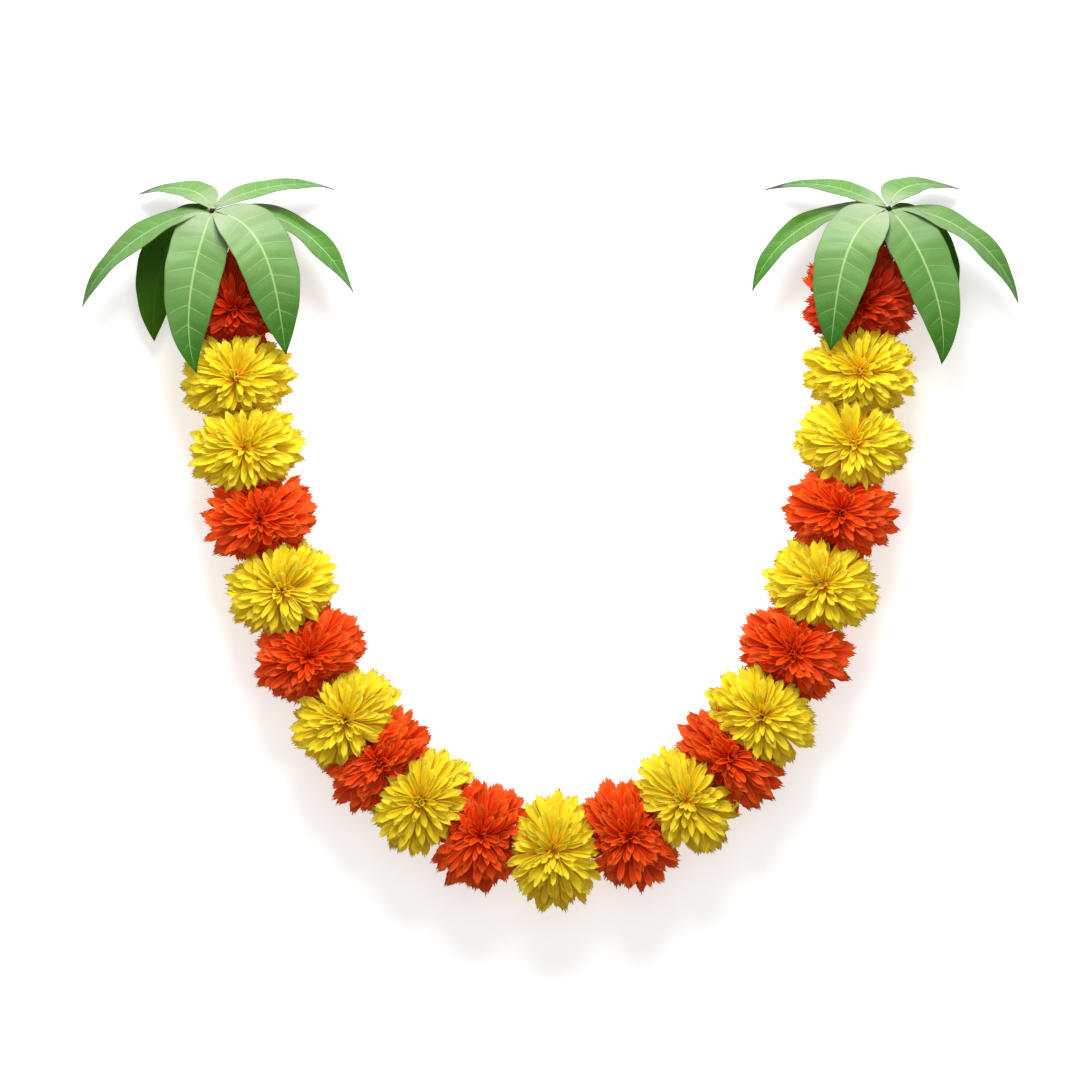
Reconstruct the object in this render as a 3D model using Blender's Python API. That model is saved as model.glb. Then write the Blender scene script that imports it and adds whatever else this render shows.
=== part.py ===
# Flower garland: a thread strung with pompon blooms, yellow and orange, hanging in a deep swag between
# two whorls of long leaves. It is stored lying on its back. Metres, +Z up, the blooms face +Z, and the
# bottom of the swag points to -Y. The origin is under the middle of the bounding box, on the surface.

import math
import random

import bmesh
import bpy
from mathutils import Vector

MM = 0.001

# The string's route on the surface: the lower half of an ellipse, then short straights to the hubs.
SWAG_A = 195.5 * MM
SWAG_B = 333.2 * MM
SWAG_Y = 139.4 * MM
# The bottom of the swag hangs a little to the right: the shift per length downwards, and where it is nothing.
SWAG_SKEW = 0.0144
SKEW_Y = 19.4 * MM
# The string's length is summed in steps of this angle on the ellipse, in radians.
SWAG_STEP = 0.0005
# Distances along the string from the middle bloom outwards, one per neighbour.
BLOOM_STEPS = [47.5, 43.0, 36.5, 33.5, 46.0, 45.0, 46.0, 44.5, 44.0, 44.5]
# Colours from the middle bloom outwards: y yellow, o orange.
BLOOM_COLOURS = "yoyoyoyoyyo"

# One bloom, in mm: half extents along the string, across it and upwards, for the petal tips and the core.
TIP_HALF = (30.5, 36.5, 26.5)
CORE_HALF = (14.5, 23.0, 17.5)
BLOOM_Z = 33.0
CORE_SIDES = 7
# The core's two rings of points, in degrees from straight up, and how far it stays from a neighbour's face.
CORE_RINGS = [128.0, 58.0]
CORE_SPARE = 3.5
PETAL_THICK = 0.8
# Corners of a petal's face: place along it, place across it, and share of the curl. A toothed one ends in
# two points with a notch between them.
TOOTHED = [(0.28, 0.0, 0.0), (0.96, 1.0, 1.0), (0.84, 0.1, 0.4), (1.0, -0.85, 0.9)]
POINTED = [(0.28, 0.0, 0.0), (0.76, 1.0, 0.2), (1.0, 0.0, 1.0), (0.74, -1.0, 0.3)]
PETAL_TRIANGLES = [(0, 1, 2), (0, 2, 3)]
# Petal rings: angle from straight up, count, width, outline, curl of the tip along the blade's face.
PETAL_RINGS = [
    (17.0, 3, 8.0, POINTED, 0.5),
    (42.0, 4, 12.0, POINTED, 1.5),
    (70.0, 6, 15.0, TOOTHED, 2.0),
    (98.0, 6, 16.0, TOOTHED, 2.0),
    (126.0, 3, 15.0, TOOTHED, 1.0),
]
PETAL_FLOOR = 10.8
# A yellow bloom leans over an orange neighbour by this slope at the face where the two press together.
LEAN = 0.27
# A petal that is pushed back at such a face slides along it by this share, outwards and up.
FACE_SLIDE = 0.4
FACE_RISE = 0.35

THREAD_R = 0.9
THREAD_Z = 8.0
# The thread runs straight for this distance to each side of a calyx's middle. Beyond the last bloom it keeps
# its height for a while and drifts towards the bundle by this share, then goes up the bundle and ends
# just above the hub.
THREAD_STRAIGHT = 8.5
THREAD_RUN_OUT = 26.0
THREAD_DRIFT = 0.45
THREAD_STUB = 0.5
BORE_R = 1.4
BORE_HALF = 14.0
BORE_SIDES = 6
CALYX_SIDES = 7
CALYX_PROFILE = [(3.2, 0.0), (2.8, 3.4), (8.3, 9.4), (10.2, 15.9)]
CALYX_TOP = 15.0
SEPAL_RISE = 0.9

PETIOLE_R = 0.8
PETIOLE_SIDES = 5
BUNDLE_R = 2.19
LEAF_THICK = 0.8
# The blade starts at this share of the way to its first midrib point, and a little higher.
BLADE_START = 0.2
BLADE_RISE = 1.5
# Height of each edge over the midrib, as a share of the half width.
BLADE_FOLD = 0.10
# The stalk bends just above the hub, and runs on inside the blade to this share of its length, a bit thinner.
STALK_BEND = 1.6
STALK_INSIDE = 0.09
STALK_END_R = 0.65
# The tie's section: distance from the bundle's middle, and distance along it, wound in three ridges.
TIE_PROFILE = [(3.35, 0.0), (4.3, 0.35), (3.95, 0.8), (4.35, 1.3), (3.95, 1.8), (4.3, 2.25), (3.35, 2.6)]
TIE_SIDES = 7
# Where the tie starts, as a share of the bundle's length from the hub.
TIE_PLACE = 0.12
HUB_LEFT = Vector((-211.2, 205.6, 45.0))
HUB_RIGHT = Vector((211.7, 206.9, 45.0))
BUNDLE_DROP = Vector((3.6, -21.5, -25.0))
# The whorl opens like an umbrella. Each leaf has the points at a third, two thirds and the end of its midrib,
# in mm from the hub, its half width, the direction its blade faces at the base and at the tip, in degrees
# from straight up towards +Y, and the share of its width that it has at the base station.
LEAVES_LEFT = {
    "back_inner": ((23.7, 11.3, -9.0), (51.2, 15.8, -21.0), (76.7, 12.8, -38.0), 11.5, (68.0, 68.0), 0.5),
    "back_outer": ((-10.3, 11.8, -12.0), (-27.3, 14.8, -25.0), (-47.3, 11.3, -38.0), 13.5, (68.0, 68.0), 0.5),
    "side_outer": ((-29.3, -7.7, 1.0), (-60.3, -29.2, -1.0), (-81.3, -60.2, -12.0), 15.5, (70.0, 66.0), 0.42),
    "under": ((-24.8, -19.2, -20.0), (-34.8, -49.2, -28.0), (-35.8, -80.2, -33.0), 15.5, (40.0, 25.0), 0.62),
    "front_outer": ((-6.8, -22.2, 15.0), (-13.8, -60.2, 19.0), (-10.3, -99.2, 9.0), 18.4, (45.0, 20.0), 0.62),
    "front_inner": ((28.2, -17.7, 19.5), (40.7, -51.2, 20.0), (46.7, -88.7, 9.0), 18.8, (45.0, 20.0), 0.66),
    "side_inner": ((40.7, -5.2, -11.0), (68.7, -24.7, -11.0), (88.7, -52.2, -14.0), 15.5, (69.0, 68.0), 0.5),
}
LEAVES_RIGHT = {
    "back_inner": ((-21.7, 9.5, -9.0), (-45.7, 14.5, -21.0), (-77.7, 11.5, -38.0), 11.5, (68.0, 68.0), 0.5),
    "back_outer": ((8.8, 12.5, -12.0), (24.3, 16.0, -25.0), (45.3, 13.5, -38.0), 13.5, (68.0, 68.0), 0.5),
    "side_outer": ((33.3, -6.5, 0.0), (62.3, -27.0, -3.0), (81.3, -59.0, -13.0), 15.5, (70.0, 66.0), 0.42),
    "under": ((23.8, -18.0, -20.0), (33.3, -44.0, -29.0), (32.3, -73.0, -34.0), 14.5, (40.0, 25.0), 0.62),
    "front_outer": ((15.8, -22.0, 15.0), (29.8, -58.0, 19.0), (32.8, -96.5, 9.0), 17.5, (45.0, 20.0), 0.62),
    "front_inner": ((-23.2, -20.0, 19.5), (-32.7, -53.0, 20.0), (-36.7, -86.5, 9.0), 18.8, (45.0, 20.0), 0.66),
    "side_inner": ((-37.7, -5.0, -11.0), (-66.7, -23.0, -11.0), (-85.2, -52.0, -14.0), 15.5, (69.0, 68.0), 0.5),
}
# Half width along the blade as a share of the greatest, and the wave of each edge in mm. The share at the
# base station is the leaf's own.
BASE_STATION = 0.14
BLADE_STATIONS = [
    (0.0, 0.06, 0.0),
    (BASE_STATION, 0.66, 0.6),
    (0.31, 0.97, -0.8),
    (0.5, 0.98, 0.8),
    (0.68, 0.78, -0.8),
    (0.85, 0.43, 0.5),
]

for old in list(bpy.data.objects):
    bpy.data.objects.remove(old, do_unlink=True)

garland = bpy.data.collections.new("garland")
bpy.context.scene.collection.children.link(garland)
helpers = bpy.data.collections.new("helpers")
helpers.hide_render = True
bpy.context.scene.collection.children.link(helpers)


def material(name, colour, roughness):
    made = bpy.data.materials.new(name)
    made.use_nodes = True
    shader = made.node_tree.nodes["Principled BSDF"]
    shader.inputs["Base Color"].default_value = (*colour, 1.0)
    shader.inputs["Roughness"].default_value = roughness
    shader.inputs["Metallic"].default_value = 0.0
    return made


MATERIALS = {
    "y": material("petal_yellow", (0.90, 0.62, 0.02), 0.6),
    "o": material("petal_orange", (0.78, 0.09, 0.01), 0.6),
    "calyx": material("calyx_green", (0.16, 0.28, 0.06), 0.7),
    "leaf": material("leaf_green", (0.10, 0.32, 0.06), 0.5),
    "thread": material("thread_cotton", (0.75, 0.70, 0.58), 0.9),
    "tie": material("tie_cotton", (0.30, 0.10, 0.05), 0.9),
}


def solid(name, points, faces, look, home):
    """An object from points in mm, with its faces turned to look outwards."""
    mesh = bpy.data.meshes.new(name)
    mesh.from_pydata([Vector(p) * MM for p in points], [], faces)
    work = bmesh.new()
    work.from_mesh(mesh)
    bmesh.ops.recalc_face_normals(work, faces=work.faces)
    work.to_mesh(mesh)
    work.free()
    mesh.materials.append(look)
    made = bpy.data.objects.new(name, mesh)
    home.objects.link(made)
    return made


def fuse(body, others, operation):
    """Joins or cuts with every object in the list, applies it and removes them."""
    group = bpy.data.collections.new(body.name + "_parts")
    group.hide_render = True
    helpers.children.link(group)
    for other in others:
        group.objects.link(other)
        helpers.objects.unlink(other)
        other.display_type = "WIRE"
        other.hide_render = True
    boolean = body.modifiers.new("Boolean", "BOOLEAN")
    boolean.operation = operation
    boolean.operand_type = "COLLECTION"
    boolean.collection = group
    boolean.solver = "EXACT"
    graph = bpy.context.evaluated_depsgraph_get()
    joined = bpy.data.meshes.new_from_object(body.evaluated_get(graph))
    body.modifiers.remove(boolean)
    body.data = joined
    for other in others:
        bpy.data.objects.remove(other, do_unlink=True)
    bpy.data.collections.remove(group)


def swag_point(distance):
    """Place and direction on the string, at a distance in mm from the middle bloom, positive to the right."""
    side = 1.0 if distance >= 0.0 else -1.0
    left = abs(distance)
    angle = 0.0
    while left > 1e-6:
        rise = side * SWAG_B * math.sin(angle)
        speed = math.hypot(SWAG_A * math.cos(angle) - SWAG_SKEW * rise, rise) / MM
        part = min(SWAG_STEP, left / speed)
        angle += part
        left -= speed * part
    y = SWAG_Y - SWAG_B * math.cos(angle)
    x = side * SWAG_A * math.sin(angle) + SWAG_SKEW * (SKEW_Y - y)
    rise = side * SWAG_B * math.sin(angle)
    along = Vector((SWAG_A * math.cos(angle) - SWAG_SKEW * rise, rise, 0.0)).normalized()
    return Vector((x, y, 0.0)) / MM, along


def pair_slope(over, under):
    """How far the face between two neighbours leans: towards the orange one, none between equals."""
    if over == under:
        return 0.0
    return LEAN if over == "y" else -LEAN


def bent_clear(points, direction, walls, spare):
    """Shifts a petal's outer points inside each wall and along it, as it folds against a neighbour."""
    for foot, out in walls * 2:
        beyond = max((point - foot).dot(out) for point in points) + spare
        if beyond > 0.0:
            slide = direction + Vector((0.0, 0.0, FACE_RISE))
            slide = (slide - out * slide.dot(out)).normalized()
            points = [point - out * beyond + slide * (FACE_SLIDE * beyond) for point in points]
    return points


def petal(centre, along, across, theta, psi, width, outline, curl, reach, walls, spare):
    """One petal as a thin closed blade from inside the core to its tip."""
    tip = (
        along * (TIP_HALF[0] * math.sin(theta) * math.cos(psi))
        + across * (TIP_HALF[1] * math.sin(theta) * math.sin(psi))
        + Vector((0.0, 0.0, TIP_HALF[2] * math.cos(theta)))
    ) * reach
    direction = tip.normalized()
    side = Vector((0.0, 0.0, 1.0)).cross(direction).normalized()
    face = direction.cross(side)
    half = width / 2.0
    upper = []
    for reach_share, side_share, curl_share in outline:
        upper.append(centre + tip * reach_share + side * (half * side_share) + face * (curl * curl_share))
    upper[1:] = bent_clear(upper[1:], direction, walls, spare)
    lift = PETAL_FLOOR + spare - min(spot.z for spot in upper)
    if lift > 0.0:
        upper[1:] = [spot + Vector((0.0, 0.0, lift)) for spot in upper[1:]]
    normal = Vector((0.0, 0.0, 0.0))
    for a, b, c in PETAL_TRIANGLES:
        normal += (upper[b] - upper[a]).cross(upper[c] - upper[a])
    normal.normalize()
    points = [p + normal * (PETAL_THICK / 2.0) for p in upper]
    points += [p - normal * (PETAL_THICK / 2.0) for p in upper]
    faces = list(PETAL_TRIANGLES)
    faces += [(a + 4, c + 4, b + 4) for a, b, c in PETAL_TRIANGLES]
    for i in range(4):
        j = (i + 1) % 4
        faces += [(i, i + 4, j), (j, i + 4, j + 4)]
    return points, faces


def bloom(name, colour, centre, along, walls, seed):
    """A pompon head: a small oval core with the petals standing out of it in rings."""
    chance = random.Random(seed)
    across = Vector((-along.y, along.x, 0.0))
    centre = Vector((centre.x, centre.y, BLOOM_Z))
    room = min((foot - centre).dot(out) for foot, out in walls) - CORE_SPARE
    core = [min(CORE_HALF[0], room), *CORE_HALF[1:]]
    points = [centre - Vector((0.0, 0.0, core[2]))]
    for degrees in CORE_RINGS:
        theta = math.radians(degrees)
        for k in range(CORE_SIDES):
            psi = math.tau * k / CORE_SIDES
            points.append(
                centre
                + along * (core[0] * math.sin(theta) * math.cos(psi))
                + across * (core[1] * math.sin(theta) * math.sin(psi))
                + Vector((0.0, 0.0, core[2] * math.cos(theta)))
            )
    points.append(centre + Vector((0.0, 0.0, core[2])))
    faces = []
    for k in range(CORE_SIDES):
        low = 1 + k
        low_next = 1 + (k + 1) % CORE_SIDES
        high = low + CORE_SIDES
        high_next = low_next + CORE_SIDES
        faces += [(0, low_next, low), (low, low_next, high_next), (low, high_next, high)]
        faces.append((high, high_next, 2 * CORE_SIDES + 1))
    body = solid(name, points, faces, MATERIALS[colour], garland)
    blades = []
    for degrees, count, width, outline, curl in PETAL_RINGS:
        start = chance.uniform(0.0, math.tau)
        for k in range(count):
            theta = math.radians(degrees + chance.uniform(-4.0, 4.0))
            psi = start + math.tau * (k + chance.uniform(-0.12, 0.12)) / count
            reach = chance.uniform(0.94, 1.0)
            own_width = width * chance.uniform(0.9, 1.1)
            spare = chance.uniform(0.65, 1.5)
            blade_points, blade_faces = petal(
                centre, along, across, theta, psi, own_width, outline, curl, reach, walls, spare
            )
            blades.append(solid(name + "_petal", blade_points, blade_faces, MATERIALS[colour], helpers))
    fuse(body, blades, "UNION")


def tube(route, radii, sides):
    """Points and faces of a tube along a route, with closed ends and no twist."""
    points = []
    faces = []
    normal = None
    for i, spot in enumerate(route):
        ahead = route[min(i + 1, len(route) - 1)] - route[max(i - 1, 0)]
        ahead.normalize()
        if normal is None:
            normal = ahead.orthogonal().normalized()
        normal = (normal - ahead * normal.dot(ahead)).normalized()
        other = ahead.cross(normal)
        for k in range(sides):
            angle = math.tau * k / sides
            points.append(spot + normal * (radii[i] * math.cos(angle)) + other * (radii[i] * math.sin(angle)))
    for i in range(len(route) - 1):
        for k in range(sides):
            n = (k + 1) % sides
            a = i * sides
            b = a + sides
            faces.append((a + k, a + n, b + n, b + k))
    faces.append(tuple(range(sides - 1, -1, -1)))
    last = (len(route) - 1) * sides
    faces.append(tuple(range(last, last + sides)))
    return points, faces


def calyx(name, centre, along):
    """The green cup under a bloom: a cut stub to stand on, a flared cup, sepal points, and a hole."""
    points = []
    for level, (radius, height) in enumerate(CALYX_PROFILE):
        for k in range(CALYX_SIDES):
            angle = math.tau * (k + 0.5) / CALYX_SIDES + math.atan2(along.y, along.x)
            lift = SEPAL_RISE * (k % 2) if level == len(CALYX_PROFILE) - 1 else 0.0
            spoke = Vector((radius * math.cos(angle), radius * math.sin(angle), height + lift))
            points.append(centre + spoke)
    points.append(centre + Vector((0.0, 0.0, CALYX_TOP)))
    top = len(points) - 1
    faces = [tuple(range(CALYX_SIDES - 1, -1, -1))]
    for level in range(len(CALYX_PROFILE) - 1):
        a = level * CALYX_SIDES
        b = a + CALYX_SIDES
        for k in range(CALYX_SIDES):
            n = (k + 1) % CALYX_SIDES
            faces.append((a + k, a + n, b + n))
            faces.append((a + k, b + n, b + k))
    rim = (len(CALYX_PROFILE) - 1) * CALYX_SIDES
    for k in range(CALYX_SIDES):
        faces.append((rim + k, rim + (k + 1) % CALYX_SIDES, top))
    body = solid(name, points, faces, MATERIALS["calyx"], garland)
    middle = centre + Vector((0.0, 0.0, THREAD_Z))
    ends = [middle - along * BORE_HALF, middle + along * BORE_HALF]
    bore_points, bore_faces = tube(ends, [BORE_R, BORE_R], BORE_SIDES)
    bore = solid(name + "_bore", bore_points, bore_faces, MATERIALS["calyx"], helpers)
    fuse(body, [bore], "DIFFERENCE")


def cubic_through(p0, p1, p2, p3, s):
    """The cubic curve that passes p0, p1, p2 and p3 at 0, 1/3, 2/3 and 1."""
    a = (s - 1 / 3) * (s - 2 / 3) * (s - 1) / (-2 / 9)
    b = s * (s - 2 / 3) * (s - 1) / (2 / 27)
    c = s * (s - 1 / 3) * (s - 1) / (-2 / 27)
    d = s * (s - 1 / 3) * (s - 2 / 3) / (2 / 9)
    return p0 * a + p1 * b + p2 * c + p3 * d


def leaf(name, hub, drop, slot, shape):
    """A long leaf: a round stalk in the bundle, turning out at the hub into a folded, waved blade."""
    p1, p2, p3 = (hub + Vector(p) for p in shape[:3])
    half = shape[3]
    base_facing, tip_facing = shape[4]
    base_share = shape[5]
    stalk = [hub + drop + slot, hub + slot]
    p0 = hub + slot + (p1 - hub) * BLADE_START + Vector((0.0, 0.0, BLADE_RISE))
    upper = []
    for s, share, wave in BLADE_STATIONS:
        if s == BASE_STATION:
            share = base_share
        spot = cubic_through(p0, p1, p2, p3, s)
        ahead = cubic_through(p0, p1, p2, p3, s + 0.01) - cubic_through(p0, p1, p2, p3, s - 0.01)
        ahead.normalize()
        facing = math.radians(base_facing + (tip_facing - base_facing) * s)
        towards = Vector((0.0, math.sin(facing), math.cos(facing)))
        side = ahead.cross(towards).normalized()
        face = side.cross(ahead)
        if face.dot(towards) < 0.0:
            face = -face
        lift = BLADE_FOLD * half * share
        upper.append((spot + side * (half * share) + face * (lift + wave), face))
        upper.append((spot, face))
        upper.append((spot - side * (half * share) + face * (lift - wave), face))
    upper.append((p3, face))
    points = [p + n * (LEAF_THICK / 2.0) for p, n in upper]
    points += [p - n * (LEAF_THICK / 2.0) for p, n in upper]
    count = len(upper)
    triangles = []
    for i in range(len(BLADE_STATIONS) - 1):
        a = 3 * i
        triangles += [(a, a + 1, a + 4), (a, a + 4, a + 3), (a + 1, a + 2, a + 4), (a + 2, a + 5, a + 4)]
    a = 3 * (len(BLADE_STATIONS) - 1)
    triangles += [(a, a + 1, a + 3), (a + 1, a + 2, a + 3)]
    faces = list(triangles)
    faces += [(x + count, z + count, y + count) for x, y, z in triangles]
    border = [1, 2] + [3 * i + 2 for i in range(1, len(BLADE_STATIONS))] + [count - 1]
    border += [3 * i for i in range(len(BLADE_STATIONS) - 1, -1, -1)]
    for i, x in enumerate(border):
        y = border[(i + 1) % len(border)]
        faces += [(x, y, x + count), (y, y + count, x + count)]
    blade = solid(name + "_blade", points, faces, MATERIALS["leaf"], helpers)
    turn = stalk[1] - drop.normalized() * STALK_BEND + (p0 - stalk[1]) * 0.35
    inside = cubic_through(p0, p1, p2, p3, STALK_INSIDE)
    route = [stalk[0], stalk[1], turn, p0, inside]
    stalk_points, stalk_faces = tube(route, [PETIOLE_R] * 4 + [STALK_END_R], PETIOLE_SIDES)
    body = solid(name, stalk_points, stalk_faces, MATERIALS["leaf"], garland)
    fuse(body, [blade], "UNION")


def whorl(label, hub, drop, leaves):
    """Seven leaves whose stalks stand in a ring round the thread, and the tie wound round them."""
    axis = -drop.normalized()
    east = axis.orthogonal().normalized()
    north = axis.cross(east)
    order = []
    for key, shape in leaves.items():
        out = Vector(shape[0])
        order.append((math.atan2(out.dot(north), out.dot(east)), key))
    order.sort()
    count = len(order)
    offset = sum(angle - math.tau * k / count for k, (angle, key) in enumerate(order)) / count
    for k, (angle, key) in enumerate(order):
        place = offset + math.tau * k / count
        slot = (east * math.cos(place) + north * math.sin(place)) * BUNDLE_R
        leaf("leaf_" + label + "_" + key, hub, drop, slot, leaves[key])
    points = []
    for radius, height in TIE_PROFILE:
        middle = hub + drop * TIE_PLACE - axis * height
        for k in range(TIE_SIDES):
            angle = math.tau * k / TIE_SIDES
            spoke = east * math.cos(angle) + north * math.sin(angle)
            points.append(middle + spoke * (radius / math.cos(math.pi / TIE_SIDES)))
    faces = []
    for i in range(len(TIE_PROFILE)):
        for k in range(TIE_SIDES):
            a = i * TIE_SIDES
            b = ((i + 1) % len(TIE_PROFILE)) * TIE_SIDES
            n = (k + 1) % TIE_SIDES
            faces.append((a + k, a + n, b + n, b + k))
    solid("tie_" + label, points, faces, MATERIALS["tie"], garland)


places = [0.0]
for step in BLOOM_STEPS:
    places.append(places[-1] + step)
spots = []
for i in range(-10, 11):
    distance = places[abs(i)] * (1 if i >= 0 else -1)
    spot, direction = swag_point(distance)
    spots.append((spot, direction, BLOOM_COLOURS[abs(i)]))

for number, (spot, direction, colour) in enumerate(spots, start=1):
    walls = []
    for other in (number - 2, number):
        if 0 <= other < len(spots):
            near, _, near_colour = spots[other]
            out = (near - spot).normalized()
            slope = pair_slope(colour, near_colour)
            foot = (spot + near) / 2.0 + Vector((0.0, 0.0, BLOOM_Z))
            walls.append((foot, (out - Vector((0.0, 0.0, slope))).normalized()))
    bloom("bloom_%02d" % number, colour, spot, direction, walls, 100 + number)
    calyx("calyx_%02d" % number, spot, direction)

drop_left = BUNDLE_DROP
drop_right = Vector((-BUNDLE_DROP.x, BUNDLE_DROP.y, BUNDLE_DROP.z))
whorl("left", HUB_LEFT, drop_left, LEAVES_LEFT)
whorl("right", HUB_RIGHT, drop_right, LEAVES_RIGHT)

route = []
for hub, drop, end in ((HUB_LEFT, drop_left, 0), (HUB_RIGHT, drop_right, 20)):
    spot, direction, _ = spots[end]
    outward = direction if end else -direction
    low = spot + outward * THREAD_RUN_OUT + Vector(((hub.x - spot.x) * THREAD_DRIFT, 0.0, THREAD_Z))
    reach = [hub - drop.normalized() * THREAD_STUB, hub + drop, hub + drop * 1.12, low]
    if end:
        reach.reverse()
        ending = reach
    else:
        beginning = reach
for spot, direction, _ in spots:
    middle = spot + Vector((0.0, 0.0, THREAD_Z))
    route += [middle - direction * THREAD_STRAIGHT, middle + direction * THREAD_STRAIGHT]
route = beginning + route + ending
thread = bpy.data.curves.new("thread", "CURVE")
thread.dimensions = "3D"
thread.bevel_depth = THREAD_R * MM
thread.bevel_resolution = 1
thread.use_fill_caps = True
spline = thread.splines.new("POLY")
spline.points.add(len(route) - 1)
for point, spot in zip(spline.points, route):
    point.co = (*(spot * MM), 1.0)
thread.materials.append(MATERIALS["thread"])
garland.objects.link(bpy.data.objects.new("thread", thread))
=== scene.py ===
# %% [markdown]
# # A flower garland laid out on its back
#
# A needle takes a cotton thread through the green cup at the back of each marigold head, one after another,
# and at both ends a bunch of mango leaves is tied to the thread by its stalks. Each piece below stands in for
# one node of a plain solid model, in the same place and of the same size, so what is drawn and what the
# physics knows stay one object. Lengths are in millimetres until MM turns them into Blender's metres.

# %% Load the frame
import math
from collections import namedtuple

import bpy
import numpy as np
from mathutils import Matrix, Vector


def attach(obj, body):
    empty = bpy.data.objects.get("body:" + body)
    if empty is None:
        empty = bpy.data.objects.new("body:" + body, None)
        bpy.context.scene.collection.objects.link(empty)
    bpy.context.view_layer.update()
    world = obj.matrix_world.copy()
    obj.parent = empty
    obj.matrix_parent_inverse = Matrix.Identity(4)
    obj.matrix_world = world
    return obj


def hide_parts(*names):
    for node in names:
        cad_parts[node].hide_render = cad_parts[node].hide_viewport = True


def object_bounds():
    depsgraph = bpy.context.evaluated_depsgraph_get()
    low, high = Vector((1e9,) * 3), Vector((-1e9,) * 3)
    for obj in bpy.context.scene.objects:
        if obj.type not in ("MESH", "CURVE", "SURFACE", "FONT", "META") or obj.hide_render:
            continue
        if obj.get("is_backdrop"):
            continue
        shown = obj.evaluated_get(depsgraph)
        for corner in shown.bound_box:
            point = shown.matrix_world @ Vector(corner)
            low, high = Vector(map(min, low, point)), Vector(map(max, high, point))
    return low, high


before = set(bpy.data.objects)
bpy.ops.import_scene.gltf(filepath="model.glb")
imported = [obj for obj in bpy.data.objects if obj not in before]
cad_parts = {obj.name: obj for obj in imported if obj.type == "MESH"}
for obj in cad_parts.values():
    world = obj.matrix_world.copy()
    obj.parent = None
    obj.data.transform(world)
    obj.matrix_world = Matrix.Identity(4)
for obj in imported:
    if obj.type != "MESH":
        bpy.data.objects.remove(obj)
bounds_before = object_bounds()
print("nodes in the frame:", len(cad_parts))

MM = 0.001

# %% [markdown]
# ## The string's route
#
# A thread hung from two points sags into a smooth curve. It could be a Bezier curve drawn by eye, but blooms
# on a string are placed by distance, and a formula can be measured along its length: half an ellipse, 391 mm
# wide and 333 mm deep, that leans a little. The blooms sit closest where it turns from level to steep.

# %% Route and places of the blooms
SWAG_A = 195.5
SWAG_B = 333.2
SWAG_Y = 139.4
SWAG_SKEW = 0.0144
SKEW_Y = 19.4
SWAG_STEP = 0.0005
LEFT_OVER = 1e-6
BLOOM_STEPS = [47.5, 43, 36.5, 33.5, 46, 45, 46, 44.5, 44, 44.5]
BLOOM_COLOURS = "yoyoyoyoyyo"
BLOOM_Z = 33


def swag_heading(angle, side):
    """Which way the route runs at an angle on the ellipse, not of unit length."""
    rise = side * SWAG_B * math.sin(angle)
    return SWAG_A * math.cos(angle) - SWAG_SKEW * rise, rise


def swag_point(distance):
    """Place and direction at a distance from the middle bloom, positive to the right."""
    side = 1 if distance >= 0 else -1
    left = abs(distance)
    angle = 0
    while left > LEFT_OVER:
        speed = math.hypot(*swag_heading(angle, side))
        part = min(SWAG_STEP, left / speed)
        angle += part
        left -= speed * part
    y = SWAG_Y - SWAG_B * math.cos(angle)
    x = side * SWAG_A * math.sin(angle) + SWAG_SKEW * (SKEW_Y - y)
    along = np.array([*swag_heading(angle, side), 0])
    return np.array([x, y, 0]), along / np.linalg.norm(along)


places = np.concatenate([[0], np.cumsum(BLOOM_STEPS)])
spots = []
for i in range(-len(BLOOM_STEPS), len(BLOOM_STEPS) + 1):
    place, along = swag_point(math.copysign(places[abs(i)], i))
    spots.append((place, along, BLOOM_COLOURS[abs(i)]))
print("blooms:", len(spots), "first to last:", round(2 * places[-1]), "mm")

# %% [markdown]
# ## Where two blooms press together
#
# Strung blooms touch, and their petals interlock like the fingers of two hands. To simulate 3,600 petals that
# push each other aside would take hours, and a plane that cuts them would leave straight edges. Instead a
# wavy wall stands between two neighbours: where a petal of one reaches out, the other's stays short. It
# leans, so that a yellow bloom lies a little over an orange one. Rows of points that would pass it are
# shifted back whole, so a petal bends there and keeps its width.

# %% The walls between neighbours
# Shift along the string for each mm of height, below and above the blooms' middles.
LEAN = np.array([0.27, 0.42])
LEAN_ALIKE = np.array([0.12, 0.25])
WAVE = 2.4
WAVE_LENGTH = 13.5
WAVE_SLANT = 0.12
PHASE_STEP = 1.7
HALF_GAP = 0.25


def unit(v):
    return v / np.linalg.norm(v)


def unit_rows(v):
    return v / np.linalg.norm(v, axis=1, keepdims=True)


walls = []
for i in range(len(spots) - 1):
    (place_a, _, colour_a), (place_b, _, colour_b) = spots[i:i + 2]
    if colour_a == colour_b:
        lean = -LEAN_ALIKE if i < len(BLOOM_STEPS) else LEAN_ALIKE
    else:
        lean = LEAN if colour_a == "y" else -LEAN
    level = unit(place_b - place_a)
    walls.append({
        "foot": (place_a + place_b) / 2 + np.array([0, 0, BLOOM_Z]),
        "level": level,
        "across": np.cross([0, 0, 1], level),
        "lean": lean,
        "phase": PHASE_STEP * i,
    })


def past_wall(points, wall, sign):
    """How far each point lies past a wall, seen from the bloom on the side that sign names."""
    offset = points - wall["foot"]
    height = offset[..., 2]
    shift = height * np.where(height > 0, wall["lean"][1], wall["lean"][0])
    turn = 2 * math.pi * (offset @ wall["across"]) / WAVE_LENGTH + wall["phase"] + WAVE_SLANT * height
    return sign * (offset @ wall["level"] - shift - WAVE * np.sin(turn)) + HALF_GAP


def hold_back(point, own_walls, spare, slide=0):
    """Moves one point level until it is inside each wall by the spare distance, and sideways by the slide."""
    for wall, sign in own_walls * 2:
        beyond = past_wall(point, wall, sign) + spare
        if beyond > 0:
            outwards = np.sign((point - wall["foot"]) @ wall["across"])
            point = point - sign * beyond * wall["level"] + slide * beyond * outwards * wall["across"]
    return point


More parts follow.
